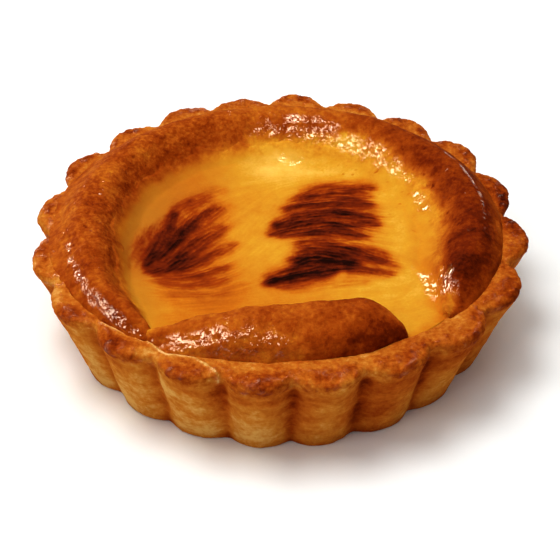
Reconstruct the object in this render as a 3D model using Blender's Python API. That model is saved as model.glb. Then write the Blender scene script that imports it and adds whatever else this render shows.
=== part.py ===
"""Peach tart: a fluted pastry case with a baked peach filling, ringed by a puffed brown collar.

The collar runs round the back and both sides. At the front a separate puff lies between its two
ends, and to the right of that puff the filling runs out to the case. Azimuths are in degrees from
+X, the viewer's right, turning towards +Y, the back, so the front of the tart is at 270.
"""

import math
import random

import bmesh
import bpy
from mathutils import Vector

MM = 0.001

# The pastry case
RIM_RADIUS = 46.9 * MM  # to the bottoms of the grooves between flutes, at the rim
BASE_RADIUS = 42.4 * MM  # the same at the base
BASE_SHIFT = (-0.3 * MM, -0.8 * MM)  # the case leans, so its base lies this far off the rim's centre
RIM_HEIGHT = 21.0 * MM
RIM_RISE = 1.0 * MM  # the back of the rim stands this much higher, the front as much lower
# where the rim spread in the oven: azimuth, reach in degrees to either side, extra radius
RIM_SWELLS = ((330.0, 40.0, 1.2 * MM), (200.0, 36.0, 1.0 * MM), (90.0, 36.0, 0.8 * MM))
FLUTES = 20
FIRST_GROOVE = 3.7  # azimuth of the groove from which the flutes are counted
FLUTE_CROWDING = 3.0  # degrees by which grooves shift, which widens the flutes at both sides
RIM_FLUTE_DEPTH = 3.2 * MM
BASE_FLUTE_DEPTH = 1.7 * MM
FLUTE_FULLNESS = 2.3  # 2 gives a round flute, more gives a squarer one
DEPTH_UNEVENNESS = 0.13
HEIGHT_UNEVENNESS = 0.35 * MM
GROOVE_DIP = 0.3 * MM  # the rim is this much lower in a groove
RIM_ROUNDING = 1.5 * MM
BASE_ROUNDING = 0.6 * MM
FLOOR_THICKNESS = 4.0 * MM
FLOOR_RADIUS = 37.0 * MM
FLOOR_CORNER = 0.9 * MM  # the slope between the floor and the inner wall
LIP_HEIGHT = 1.5 * MM  # the top of the inner wall is steeper
LIP_SLANT = 0.2 * MM
SEAM_RADIUS = 44.5 * MM  # the top of the case's inner wall, where the puffed collar meets it
SEAM_OVAL = 0.6 * MM  # the seam is this much wider to the sides than SEAM_RADIUS
SEAM_SHIFT = 0.4 * MM  # the seam lies this far to the back
SEAM_SINK = 0.5 * MM  # the seam lies this much below the rim's crown
LEDGE_BULGE = 0.25 * MM  # the ledge between them is this much rounded
# centre, reach and depth of the stretches where the seam lies further in and the ledge is wider
SEAM_DENTS = ((275.0, 40.0, 1.5 * MM), (302.0, 12.0, 0.9 * MM), (315.0, 9.0, 0.7 * MM))

# The filling
FILLING_HEIGHT = 17.2 * MM  # at the middle
DISH_DEPTH = 1.5 * MM  # rise from the middle to the wall
GAP_AZIMUTH = 312.0  # where the filling runs out to the case
GAP_REACH = 26.0
GAP_RISE = 1.3 * MM
CLEARANCE = 0.35 * MM  # between neighbouring pieces

# The puffed collar
COLLAR_START = -37.0
COLLAR_END = 236.0
COLLAR_TAPER = 15.0  # degrees over which each end rounds off
COLLAR_CREST = 25.0 * MM  # height of its crest above the tart's underside
COLLAR_WIDE = 15.0 * MM  # its width at the right
COLLAR_NARROW = 8.4 * MM  # its width at the left
NARROWING_START = 60.0
NARROWING_END = 220.0
CREST_INSET = 4.5 * MM  # from the case's wall in to the crest
CREST_UNEVENNESS = 0.4 * MM
WIDTH_UNEVENNESS = 0.5 * MM
FOOT_HEIGHT = 0.5 * MM  # thickness of a puffed piece at its inner foot

# The puff at the front
PUFF_START = 238.5
PUFF_END = 305.0
PUFF_WIDTH = 15.0 * MM
PUFF_WIDEST = 0.62  # share of its length where it is widest
PUFF_CREST = 24.0 * MM  # height of its crest above the tart's underside
PUFF_CREST_INSET = 7.3 * MM
PUFF_UNEVENNESS = 0.25 * MM
PUFF_LEAST_WIDTH = 1.5 * MM  # at its two tips
PUFF_TIP_POWER = 3.2  # a higher power fattens the slim left tip
PUFF_END_POWER = 12.0  # a higher power squares off the blunt right end

# How finely the surfaces are divided
POINTS_PER_FLUTE = 10
AZIMUTH_STEP = 3.0
PUFF_SECTIONS = 26
BED_POINTS = 4
INNER_POINTS = 9
OUTER_POINTS = 5


def sin_deg(degrees):
    return math.sin(math.radians(degrees))


def cos_deg(degrees):
    return math.cos(math.radians(degrees))


def mix(start, end, share):
    return start + (end - start) * share


def smooth(share):
    share = max(0.0, min(1.0, share))
    return share * share * (3.0 - 2.0 * share)


def polar(radius, azimuth, height):
    return Vector((radius * cos_deg(azimuth), radius * sin_deg(azimuth), height))


def uneven(azimuth, seed):
    """A smooth wander between about -1 and 1 round the tart."""
    draw = random.Random(seed)
    waves = [(turns, draw.uniform(0.0, 360.0)) for turns in (2, 3, 5, 7)]
    return sum(sin_deg(turns * azimuth + phase) / math.sqrt(turns) for turns, phase in waves) / 1.8


# ---------------------------------------------------------------- the pastry case


def flute_draws():
    """For each flute, how much deeper and higher than the others it came out of the tin."""
    draw = random.Random(11)
    return [
        (draw.uniform(-DEPTH_UNEVENNESS, DEPTH_UNEVENNESS), draw.uniform(-1.0, 1.0) * HEIGHT_UNEVENNESS)
        for _ in range(FLUTES)
    ]


FLUTE_DRAWS = flute_draws()


def flute_point(index):
    """Azimuth, bulge from 0 in a groove to about 1 on a flute, and extra height, of a point on the rim."""
    flute, step = divmod(index, POINTS_PER_FLUTE)
    share = step / POINTS_PER_FLUTE
    even = FIRST_GROOVE + 360.0 * (flute + share) / FLUTES
    azimuth = even + FLUTE_CROWDING * sin_deg(2.0 * even)
    bulge = 1.0 - abs(2.0 * share - 1.0) ** FLUTE_FULLNESS
    deeper, higher = FLUTE_DRAWS[flute]
    return azimuth, bulge * (1.0 + deeper), bulge * higher


def rim_height(azimuth):
    return RIM_HEIGHT + RIM_RISE * sin_deg(azimuth)


def swell(azimuth, centre, reach):
    """1 at the centre azimuth, easing to 0 at the reach to either side."""
    off = abs((azimuth - centre + 180.0) % 360.0 - 180.0)
    return smooth(1.0 - off / reach)


def wall_point(azimuth, bulge, share, inset, height):
    """A point of the outer wall at a share of its height, moved in by the inset."""
    depth = mix(BASE_FLUTE_DEPTH, RIM_FLUTE_DEPTH, share)
    radius = mix(BASE_RADIUS, RIM_RADIUS, share) + bulge * depth - inset
    for centre, reach, extra in RIM_SWELLS:
        radius += share * extra * swell(azimuth, centre, reach)
    point = polar(radius, azimuth, height)
    point.x += (1.0 - share) * BASE_SHIFT[0]
    point.y += (1.0 - share) * BASE_SHIFT[1]
    return point


def seam_radius(azimuth):
    radius = SEAM_RADIUS + SEAM_OVAL * cos_deg(2.0 * azimuth) + SEAM_SHIFT * sin_deg(azimuth)
    for centre, reach, depth in SEAM_DENTS:
        radius -= depth * swell(azimuth, centre, reach)
    return radius


def seam_height(azimuth):
    return rim_height(azimuth) - SEAM_SINK


def case_rings():
    """The rings of the case from its underside up the outside, over the rim and down to its floor."""
    # height share, radial inset, extra height: the base edge, the wall and the rounded rim
    outside = [
        (0.0, BASE_ROUNDING, 0.0),
        (0.0, 0.3 * BASE_ROUNDING, 0.3 * BASE_ROUNDING),
        (0.0, 0.0, BASE_ROUNDING),
        (0.3, 0.0, 0.0),
        (0.6, 0.0, 0.0),
        (0.85, 0.0, 0.0),
        (1.0, 0.1 * RIM_ROUNDING, -RIM_ROUNDING),
        (1.0, 0.45 * RIM_ROUNDING, -0.45 * RIM_ROUNDING),
        (1.0, RIM_ROUNDING, 0.0),
    ]
    points = [flute_point(index) for index in range(FLUTES * POINTS_PER_FLUTE)]
    rings = []
    for share, inset, lift in outside:
        ring = []
        for azimuth, bulge, higher in points:
            top = rim_height(azimuth) + higher - (1.0 - bulge) * GROOVE_DIP
            ring.append(wall_point(azimuth, bulge, share, inset, share * top + lift))
        rings.append(ring)
    rings.append([polar(seam_radius(a), a, seam_height(a)) for a, _, _ in points])
    ledge = [(crown + seam) / 2.0 for crown, seam in zip(rings[-2], rings[-1])]
    rings.insert(-1, [point + Vector((0.0, 0.0, LEDGE_BULGE)) for point in ledge])
    for height_above_floor, down_from_seam in ((0.0, LIP_HEIGHT), (FLOOR_CORNER, 0.0), (0.0, 0.0)):
        ring = []
        for azimuth, _, _ in points:
            height = FLOOR_THICKNESS + height_above_floor
            if down_from_seam:
                height = seam_height(azimuth) - down_from_seam
            ring.append(polar(inner_wall_radius(azimuth, height), azimuth, height))
        rings.append(ring)
    return rings


def inner_wall_radius(azimuth, height):
    """Radius of the case's inner wall at a height between its floor and the seam."""
    corner = FLOOR_THICKNESS + FLOOR_CORNER
    if height <= corner:
        return FLOOR_RADIUS + height - FLOOR_THICKNESS
    lip_height = seam_height(azimuth) - LIP_HEIGHT
    lip_radius = seam_radius(azimuth) - LIP_SLANT
    if height >= lip_height:
        return mix(lip_radius, seam_radius(azimuth), (height - lip_height) / LIP_HEIGHT)
    return mix(FLOOR_RADIUS + FLOOR_CORNER, lip_radius, (height - corner) / (lip_height - corner))


# ---------------------------------------------------------------- the filling


def filling_height(radius, azimuth):
    """The filling's top: a shallow dish that climbs to the rim in the gap at the front right."""
    out = radius / SEAM_RADIUS
    gap = swell(azimuth, GAP_AZIMUTH, GAP_REACH)
    return FILLING_HEIGHT + DISH_DEPTH * out * out + GAP_RISE * gap * smooth((out - 0.62) / 0.38)


def filling_rings():
    """The rings of the filling from its underside up its side and in over its top."""
    azimuths = [AZIMUTH_STEP * index for index in range(round(360.0 / AZIMUTH_STEP))]
    floor = FLOOR_THICKNESS + CLEARANCE
    shoulder = floor + FLOOR_CORNER
    rings = [
        [polar(FLOOR_RADIUS - CLEARANCE, a, floor) for a in azimuths],
        [polar(inner_wall_radius(a, shoulder) - CLEARANCE, a, shoulder) for a in azimuths],
    ]
    for share in (1.0, 0.93, 0.85, 0.76, 0.66, 0.55, 0.43, 0.3, 0.16):
        ring = []
        for azimuth in azimuths:
            top = filling_height(seam_radius(azimuth), azimuth)
            radius = share * (inner_wall_radius(azimuth, top) - CLEARANCE)
            ring.append(polar(radius, azimuth, filling_height(radius, azimuth)))
        rings.append(ring)
    return rings


# ---------------------------------------------------------------- the collar and the puff


def section(azimuth, width, crest_inset, crest_height, foot_roundness):
    """One upright slice of a puffed piece that lies on the filling against the case's inner wall.

    It starts at the inner foot, runs out along the underside, up the wall to the seam, and back
    over the crest. Foot roundness 0 gives a slope that flows into the filling, 1 a steep edge.
    """
    bed = filling_height(seam_radius(azimuth), azimuth) + CLEARANCE
    outer = inner_wall_radius(azimuth, bed) - CLEARANCE
    inner = outer - width
    crest = max(outer - crest_inset, mix(inner, outer, 0.5))
    points = []
    for step in range(BED_POINTS):
        radius = mix(inner, outer, step / (BED_POINTS - 1))
        points.append(polar(radius, azimuth, filling_height(radius, azimuth) + CLEARANCE))
    top = max(crest_height, bed + 2.0 * FOOT_HEIGHT)
    shoulder = min(seam_height(azimuth), mix(bed, top, 0.5))
    for step in range(OUTER_POINTS):
        turn = 90.0 * step / (OUTER_POINTS - 1)
        radius = crest + (outer - crest) * cos_deg(turn)
        points.append(polar(radius, azimuth, mix(shoulder, top, sin_deg(turn))))
    low = filling_height(inner, azimuth) + CLEARANCE + FOOT_HEIGHT
    for step in range(1, INNER_POINTS + 1):
        share = step / INNER_POINTS
        flowing = 0.5 + 0.5 * cos_deg(180.0 * share)
        steep = math.sqrt(max(0.0, 1.0 - share * share))
        height = mix(low, top, mix(flowing, steep, foot_roundness))
        points.append(polar(mix(crest, inner, share), azimuth, height))
    return points


def collar_sections():
    """The collar's slices from its right end, round the back, to its front left end."""
    count = round((COLLAR_END - COLLAR_START) / AZIMUTH_STEP)
    sections = []
    for index in range(count + 1):
        azimuth = mix(COLLAR_START, COLLAR_END, index / count)
        nearest = min(azimuth - COLLAR_START, COLLAR_END - azimuth) / COLLAR_TAPER
        size = math.sqrt(max(0.03, 1.0 - max(0.0, 1.0 - nearest) ** 2))
        narrowing = smooth((azimuth - NARROWING_START) / (NARROWING_END - NARROWING_START))
        width = mix(COLLAR_WIDE, COLLAR_NARROW, narrowing) + WIDTH_UNEVENNESS * uneven(azimuth, seed=21)
        crest = COLLAR_CREST + CREST_UNEVENNESS * uneven(azimuth, seed=22)
        height = mix(seam_height(azimuth), crest, size)
        sections.append(section(azimuth, size * width, CREST_INSET, height, mix(0.1, 0.9, narrowing)))
    return sections


def puff_size(share):
    """The puff's width at a share of its length, as a share of its greatest: a slim tip, a blunt end."""
    if share < PUFF_WIDEST:
        return 1.0 - (1.0 - share / PUFF_WIDEST) ** PUFF_TIP_POWER
    return 1.0 - ((share - PUFF_WIDEST) / (1.0 - PUFF_WIDEST)) ** PUFF_END_POWER


def puff_sections():
    """The slices of the front puff from its slim left tip to its blunt right end."""
    sections = []
    for index in range(PUFF_SECTIONS + 1):
        # steps shorten towards both ends, where the outline turns fastest
        share = 0.5 - 0.5 * cos_deg(180.0 * mix(0.05, 0.975, index / PUFF_SECTIONS))
        azimuth = mix(PUFF_START, PUFF_END, share)
        size = puff_size(share)
        width = max(PUFF_LEAST_WIDTH, PUFF_WIDTH * size)
        crest = PUFF_CREST + PUFF_UNEVENNESS * uneven(3.0 * azimuth, seed=31)
        height = mix(seam_height(azimuth), crest, math.sqrt(size))
        sections.append(section(azimuth, width, PUFF_CREST_INSET, height, 0.9))
    return sections


# ---------------------------------------------------------------- meshes


def ring_edges(bm, points):
    """A closed loop of edges through the points."""
    verts = [bm.verts.new(point) for point in points]
    return [bm.edges.new((verts[i], verts[(i + 1) % len(verts)])) for i in range(len(verts))]


def skin(name, rings, material, domed_end=False):
    """One closed solid through a row of rings, capped at both ends, with a middle point on a domed end."""
    bm = bmesh.new()
    loops = [ring_edges(bm, ring) for ring in rings]
    for first, second in zip(loops, loops[1:]):
        bmesh.ops.bridge_loops(bm, edges=first + second)
    bmesh.ops.contextual_create(bm, geom=loops[0])
    cap = bmesh.ops.contextual_create(bm, geom=loops[-1])["faces"]
    if domed_end:
        middle = bmesh.ops.poke(bm, faces=cap)["verts"][0]
        middle.co.z = filling_height(0.0, 0.0)
    bmesh.ops.recalc_face_normals(bm, faces=bm.faces)
    mesh = bpy.data.meshes.new(name)
    bm.to_mesh(mesh)
    bm.free()
    mesh.shade_smooth()
    mesh.set_sharp_from_angle(angle=math.radians(50.0))
    mesh.materials.append(material)
    piece = bpy.data.objects.new(name, mesh)
    bpy.context.scene.collection.objects.link(piece)
    return piece


def baked(name, colour, roughness):
    material = bpy.data.materials.new(name)
    material.use_nodes = True
    shader = material.node_tree.nodes["Principled BSDF"]
    shader.inputs["Base Color"].default_value = (*colour, 1.0)
    shader.inputs["Roughness"].default_value = roughness
    return material


def centre(pieces):
    """Moves the tart so that the middle of its outline is over the origin."""
    corners = [vertex.co for piece in pieces for vertex in piece.data.vertices]
    for axis in (0, 1):
        reach = [corner[axis] for corner in corners]
        shift = -(min(reach) + max(reach)) / 2.0
        for piece in pieces:
            for vertex in piece.data.vertices:
                vertex.co[axis] += shift


def build():
    for old in list(bpy.data.objects):
        bpy.data.objects.remove(old)
    pieces = [
        skin("pastry_case", case_rings(), baked("shortcrust", (0.55, 0.24, 0.06), 0.6)),
        skin("peach_filling", filling_rings(), baked("peach", (0.80, 0.42, 0.07), 0.35), domed_end=True),
        skin("puffed_collar", collar_sections(), baked("glazed_puff", (0.45, 0.14, 0.03), 0.3)),
        skin("front_puff", puff_sections(), baked("glazed_fold", (0.42, 0.12, 0.02), 0.3)),
    ]
    centre(pieces)


build()
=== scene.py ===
"""Looks of a small baked peach tart: fluted shortcrust, browned filling, glazed puffed pastry.

Each piece repeats the formulas of the solid that it replaces, with spills, tails and relief on top.
Azimuths are in degrees from +X, the viewer's right, turning towards +Y, the back.
"""

import math
import random
from functools import cache
from itertools import product

import bpy
import numpy as np
from mathutils import Euler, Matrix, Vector


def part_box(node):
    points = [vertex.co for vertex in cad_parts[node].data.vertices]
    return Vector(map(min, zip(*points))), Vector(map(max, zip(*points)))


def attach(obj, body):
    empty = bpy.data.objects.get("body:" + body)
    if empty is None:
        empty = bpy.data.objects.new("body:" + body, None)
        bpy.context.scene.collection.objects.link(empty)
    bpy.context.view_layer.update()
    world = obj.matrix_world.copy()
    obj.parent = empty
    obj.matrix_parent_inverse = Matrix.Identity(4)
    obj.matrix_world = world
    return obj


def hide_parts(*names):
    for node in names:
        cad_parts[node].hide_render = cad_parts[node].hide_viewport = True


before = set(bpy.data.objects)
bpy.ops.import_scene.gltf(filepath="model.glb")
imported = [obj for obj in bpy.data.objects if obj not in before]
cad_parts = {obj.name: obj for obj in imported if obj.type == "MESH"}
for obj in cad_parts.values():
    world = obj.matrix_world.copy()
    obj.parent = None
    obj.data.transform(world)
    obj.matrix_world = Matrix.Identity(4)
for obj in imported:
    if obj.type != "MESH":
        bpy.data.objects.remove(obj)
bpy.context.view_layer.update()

MM = 0.001

# ---- the form, nearly as in the solids

RIM_RADIUS = 46.9 * MM  # to the bottoms of the grooves between flutes, at the rim
BASE_RADIUS = 42.4 * MM
BASE_SHIFT = (-0.3 * MM, -0.8 * MM)
RIM_HEIGHT = 21.0 * MM
RIM_RISE = 1.0 * MM
RIM_SWELLS = ((330.0, 40.0, 1.2 * MM), (200.0, 36.0, 1.0 * MM), (90.0, 36.0, 0.8 * MM))
FLUTES = 20
FIRST_GROOVE = 3.7
FLUTE_CROWDING = 3.0
RIM_FLUTE_DEPTH = 3.2 * MM
BASE_FLUTE_DEPTH = 1.7 * MM
FLUTE_FULLNESS = 2.3
DEPTH_UNEVENNESS = 0.13
HEIGHT_UNEVENNESS = 0.35 * MM
GROOVE_DIP = 0.3 * MM
RIM_ROUNDING = 1.1 * MM
BASE_ROUNDING = 0.6 * MM
FLOOR_THICKNESS = 4.0 * MM
FLOOR_RADIUS = 37.0 * MM
FLOOR_CORNER = 0.9 * MM
LIP_HEIGHT = 1.5 * MM
LIP_SLANT = 0.2 * MM
SEAM_RADIUS = 44.5 * MM
SEAM_OVAL = 0.6 * MM
SEAM_SHIFT = 0.4 * MM
SEAM_SINK = 0.5 * MM
LEDGE_BULGE = 0.25 * MM
# centre, reach and depth of the stretches where the ledge is wider
SEAM_DENTS = ((275.0, 40.0, 1.5 * MM), (302.0, 12.0, 0.9 * MM), (315.0, 9.0, 0.7 * MM))
GROOVE_SOFTNESS = 0.12

FILLING_HEIGHT = 17.2 * MM
DISH_DEPTH = 1.5 * MM
GAP_AZIMUTH = 312.0
GAP_REACH = 26.0
GAP_RISE = 1.3 * MM
GAP_RISE_START = 0.62  # share of the seam's radius from which the filling rises in the gap

COLLAR_START = -43.0
COLLAR_END = 238.0
COLLAR_MIDDLE = (COLLAR_START + COLLAR_END) / 2.0
COLLAR_TAPER = 26.0
COLLAR_TAIL = 24.0  # degrees over which its left end, the slimmer one, rounds off
COLLAR_CREST = 25.0 * MM
COLLAR_WIDE = 15.0 * MM
COLLAR_NARROW = 8.4 * MM
NARROWING_START = 60.0
NARROWING_END = 220.0
CREST_INSET = 4.5 * MM
CREST_UNEVENNESS = 0.4 * MM
WIDTH_UNEVENNESS = 0.5 * MM

PUFF_START = 233.6
PUFF_END = 304.2
PUFF_WIDTH = 15.0 * MM
PUFF_WIDEST = 0.62
PUFF_CREST = 24.0 * MM
PUFF_CREST_INSET = 7.3 * MM
PUFF_UNEVENNESS = 0.25 * MM
PUFF_LEAST_WIDTH = 1.5 * MM
PUFF_TIP_POWER = 3.2
PUFF_END_POWER = 14.0

OVERLAP = 0.15 * MM  # how far a piece reaches into its neighbour, so that no slit shows
FOOT_SINK = 0.30 * MM  # how far the foot of a puffed piece dips under the filling's surface


def sin_deg(degrees):
    return np.sin(np.radians(degrees))


def cos_deg(degrees):
    return np.cos(np.radians(degrees))


def mix(start, end, share):
    return start + (end - start) * share


def by_azimuth(table, azimuth, row=1):
    """One row of a table at an azimuth, read between the azimuths in its first row."""
    return np.interp(azimuth, table[0], table[row])


def clamp(share):
    return np.clip(share, 0.0, 1.0)


def smooth(share):
    share = clamp(share)
    return share * share * (3.0 - 2.0 * share)


def bell(distance):
    return np.exp(-distance * distance)


def turned_off(azimuth, centre):
    """Degrees between an azimuth and a centre, the shorter way round, with its sign."""
    return (azimuth - centre + 180.0) % 360.0 - 180.0


def polar(radius, azimuth, height):
    radius, azimuth, height = np.broadcast_arrays(radius, azimuth, height)
    return np.stack((radius * cos_deg(azimuth), radius * sin_deg(azimuth), height), axis=-1)


def uneven(azimuth, seed):
    draw = random.Random(seed)
    waves = [(turns, draw.uniform(0.0, 360.0)) for turns in (2, 3, 5, 7)]
    return sum(sin_deg(turns * azimuth + phase) / math.sqrt(turns) for turns, phase in waves) / 1.8


def rim_height(azimuth):
    return RIM_HEIGHT + RIM_RISE * sin_deg(azimuth)


def swell(azimuth, centre, reach):
    return smooth(1.0 - np.abs(turned_off(azimuth, centre)) / reach)


def seam_radius(azimuth):
    radius = SEAM_RADIUS + SEAM_OVAL * cos_deg(2.0 * azimuth) + SEAM_SHIFT * sin_deg(azimuth)
    for centre, reach, depth in SEAM_DENTS:
        radius = radius - depth * swell(azimuth, centre, reach)
    return radius


def seam_height(azimuth):
    return rim_height(azimuth) - SEAM_SINK


def inner_wall_radius(azimuth, height):
    corner = FLOOR_THICKNESS + FLOOR_CORNER
    lip_height = seam_height(azimuth) - LIP_HEIGHT
    lip_radius = seam_radius(azimuth) - LIP_SLANT
    wall = mix(FLOOR_RADIUS + FLOOR_CORNER, lip_radius, (height - corner) / (lip_height - corner))
    lip = mix(lip_radius, seam_radius(azimuth), (height - lip_height) / LIP_HEIGHT)
    return np.where(height >= lip_height, lip, wall)


def filling_height(radius, azimuth):
    out = radius / SEAM_RADIUS
    gap = swell(azimuth, GAP_AZIMUTH, GAP_REACH)
    gap = gap * smooth((out - GAP_RISE_START) / (1.0 - GAP_RISE_START))
    return FILLING_HEIGHT + DISH_DEPTH * out * out + GAP_RISE * gap


def flutes(count):
    """Azimuth, bulge and extra height of evenly counted points round the fluted rim."""
    draw = random.Random(11)
    draws = np.array([(draw.uniform(-1.0, 1.0), draw.uniform(-1.0, 1.0)) for _ in range(FLUTES)])
    place = np.arange(count) * FLUTES / count
    flute = place.astype(int)
    share = place - flute
    even = FIRST_GROOVE + 360.0 * place / FLUTES
    azimuth = even + FLUTE_CROWDING * sin_deg(2.0 * even)
    off_groove = 1.0 - np.abs(2.0 * share - 1.0)
    off_groove = np.hypot(off_groove, GROOVE_SOFTNESS) - GROOVE_SOFTNESS
    off_groove = off_groove / (math.hypot(1.0, GROOVE_SOFTNESS) - GROOVE_SOFTNESS)
    bulge = 1.0 - (1.0 - off_groove) ** FLUTE_FULLNESS
    deeper, higher = (draws[flute] * (DEPTH_UNEVENNESS, HEIGHT_UNEVENNESS)).T
    return azimuth, bulge * (1.0 + deeper), bulge * higher


def wall_point(azimuth, bulge, share, inset, height):
    depth = mix(BASE_FLUTE_DEPTH, RIM_FLUTE_DEPTH, share)
    radius = mix(BASE_RADIUS, RIM_RADIUS, share) + bulge * depth - inset
    for centre, reach, extra in RIM_SWELLS:
        radius = radius + share * extra * swell(azimuth, centre, reach)
    point = polar(radius, azimuth, height)
    point[..., :2] += (1.0 - share)[..., None] * BASE_SHIFT
    return point


# ---- noise and grids


def noise(points, size, seed, stretch=(1.0, 1.0, 1.0)):
    """Smooth noise between about -1 and 1 whose lumps are about this size in mm."""
    draw = np.random.default_rng(seed)
    table = draw.permutation(256)
    slopes = draw.normal(size=(256, 3))
    slopes /= np.linalg.norm(slopes, axis=1, keepdims=True)
    at = points.reshape(-1, 3) / (size * MM * np.array(stretch)) + draw.uniform(0.0, 200.0, 3)
    cell = np.floor(at).astype(int)
    within = at - cell
    ease = within**3 * (within * (within * 6.0 - 15.0) + 10.0)
    total = np.zeros(len(at))
    for corner in product((0, 1), repeat=3):
        x, y, z = (cell + corner).T & 255
        key = table[(table[(table[x] + y) & 255] + z) & 255]
        weight = np.where(np.array(corner), ease, 1.0 - ease).prod(axis=1)
        total += weight * ((within - corner) * slopes[key]).sum(axis=1)
    return 1.6 * total.reshape(points.shape[:-1])


def rough(points, size, seed, octaves=3, stretch=(1.0, 1.0, 1.0)):
    """Noise with finer noise on it."""
    return sum(
        noise(points, size / 2.0**step, seed + step, stretch) / 1.8**step for step in range(octaves)
    )


def grid_normals(grid):
    """Outward unit normals of a grid whose second axis wraps round."""
    along = np.gradient(grid, axis=0)
    around = (np.roll(grid, -1, axis=1) - np.roll(grid, 1, axis=1)) / 2.0
    normal = np.cross(around, along)
    return normal / np.maximum(np.linalg.norm(normal, axis=-1, keepdims=True), 1e-12)


def lift(grid, height):
    """The grid with each point moved along its normal by a height in mm."""
    return grid + grid_normals(grid) * height[..., None] * MM


def capped(values):
    """A grid's values in one row, then the mean of its first row and of its last."""
    flat = values.reshape(-1, *values.shape[2:])
    return np.concatenate((flat, values[:1].mean(axis=1), values[-1:].mean(axis=1)))


def add_object(name, data):
    thing = bpy.data.objects.new(name, data)
    bpy.context.scene.collection.objects.link(thing)
    return thing


def skin(name, grid, fields, material, node):
    """One closed mesh over a grid whose second axis wraps round, with a middle point at each end."""
    rows, columns = grid.shape[:2]
    points = capped(grid) + centring()
    index = np.arange(rows * columns).reshape(rows, columns)
    following = np.roll(index, -1, axis=1)
    quads = np.stack((index[:-1], following[:-1], following[1:], index[1:]), axis=-1).reshape(-1, 4)
    first, last = rows * columns, rows * columns + 1
    caps = [(first, b, a) for a, b in zip(index[0], following[0])]
    caps += [(last, a, b) for a, b in zip(index[-1], following[-1])]
    mesh = bpy.data.meshes.new(name)
    mesh.from_pydata(points.tolist(), [], quads.tolist() + [tuple(map(int, cap)) for cap in caps])
    mesh.shade_smooth()
    for field, values in fields.items():
        values = capped(np.broadcast_to(values, (rows, columns)))
        attribute = mesh.attributes.new(field, "FLOAT", "POINT")
        attribute.data.foreach_set("value", values.astype(np.float32))
    mesh.materials.append(material)
    piece = add_object(name, mesh)
    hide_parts(node)
    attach(piece, "root")


@cache
def centring():
    """How far the solids were moved so that the middle of the tart's outline is over the origin."""
    outline = crust_grid()[0].reshape(-1, 3)
    low, high = (np.array(corner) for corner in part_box("pastry_case"))
    shift = (low + high - outline.min(axis=0) - outline.max(axis=0)) / 2.0
    return shift * (1.0, 1.0, 0.0)


# ---- the pastry case


# the ridge of set juice along the seam at the front left, painted paler as a highlight: azimuths, then
# radii in mm
BEAD = (
    (222.0, 228.7, 231.9, 236.2, 239.1, 243.1, 246.7, 249.6, 252.7, 255.7, 257.6),
    (46.2, 45.3, 44.7, 44.3, 44.8, 45.5, 44.6, 44.3, 45.2, 46.6, 47.6),
)
BEAD_WIDTH = 0.27 * MM
BEAD_HEIGHT = 0.24  # mm
UNDERSIDE_INSETS = (24.0 * MM, 4.0 * MM)  # of rows from the base's edge
INNER_DEPTHS = (1.0 * MM, 3.0 * MM, 8.0 * MM)  # of rows below the seam
CRUST_COLUMNS = 900
WALL_ROWS = 46
ROUNDING_ROWS = 9
LEDGE_ROWS = 22


def crust_rows():
    """Height share, inset, lift and ledge share of each row, from the base edge up and over the rim."""
    rows = [(0.0, inset, 0.0, 0.0) for inset in UNDERSIDE_INSETS]
    for turn in (0.0, 30.0, 60.0, 90.0):
        inset = BASE_ROUNDING * (1.0 - sin_deg(turn))
        rows.append((0.0, inset, BASE_ROUNDING * (1.0 - cos_deg(turn)), 0.0))
    top = 1.0 - RIM_ROUNDING / RIM_HEIGHT
    for step in range(1, WALL_ROWS):
        share = step / WALL_ROWS * top
        flare = mix(share, share / top, smooth((share / top - 0.6) / 0.4))
        raised = (share - flare) * RIM_HEIGHT + BASE_ROUNDING * (1.0 - share / top)
        rows.append((flare, 0.0, raised, 0.0))
    for step in range(ROUNDING_ROWS):
        turn = 90.0 * step / (ROUNDING_ROWS - 1)
        inset = RIM_ROUNDING * (1.0 - cos_deg(turn))
        rows.append((1.0, inset, -RIM_ROUNDING * (1.0 - sin_deg(turn)), 0.0))
    for step in range(1, LEDGE_ROWS + 1):
        rows.append((1.0, RIM_ROUNDING, 0.0, step / LEDGE_ROWS))
    return np.array(rows)


def crust_grid():
    """The case's grid and azimuths, and over it the bulge, wall share, ledge share and what shows."""
    azimuth, bulge, higher = flutes(CRUST_COLUMNS)
    rows = crust_rows()
    share, inset, raised, ledge = (column[:, None] for column in rows.T)
    top = rim_height(azimuth) + higher - (1.0 - bulge) * GROOVE_DIP
    grid = wall_point(azimuth, bulge, share, inset, share * top + raised)
    seam = polar(seam_radius(azimuth), azimuth, seam_height(azimuth))
    grid = mix(grid, seam, ledge[..., None])
    grid[..., 2] += LEDGE_BULGE * np.sin(np.pi * ledge)
    heights = [seam_height(azimuth) - down for down in INNER_DEPTHS]
    inner = [polar(inner_wall_radius(azimuth, height), azimuth, height) for height in heights]
    inner.append(polar(FLOOR_RADIUS, azimuth, FLOOR_THICKNESS))
    grid = np.concatenate((grid, np.array(inner)))
    hidden = np.zeros((len(inner), 1))
    share = np.concatenate((share, hidden))
    ledge = np.concatenate((ledge, hidden + 1.0))
    shown = np.concatenate((np.ones((len(rows), 1)), hidden))
    return grid, azimuth, bulge, share, ledge, shown


# ---- the filling


FILLING_COLUMNS = 680
FILLING_ROWS = 140
HIDDEN_HEIGHT = 12.0 * MM  # of a row on the filling's hidden side
HIDDEN_CLIMB = -9.0
CLIMB_REACH = 6.0 * MM  # this far inwards of the collar's foot the climb is -1
FILM_RISES = (0.08 * MM, -0.6 * MM)  # over the collar's slope, where the filling shows and past it
# by azimuth, the climb up the collar's inner slope at which the filling gives way to it
FILLING_EDGE = (
    (-37.0, -10.0, 40.0, 60.0, 90.0, 120.0, 165.0, 180.0, 198.0, 212.0, 240.0),
    (0.30, 0.35, 0.50, 0.35, 0.30, 0.30, 0.40, 0.55, 0.55, 0.25, 0.15),
)


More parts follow.
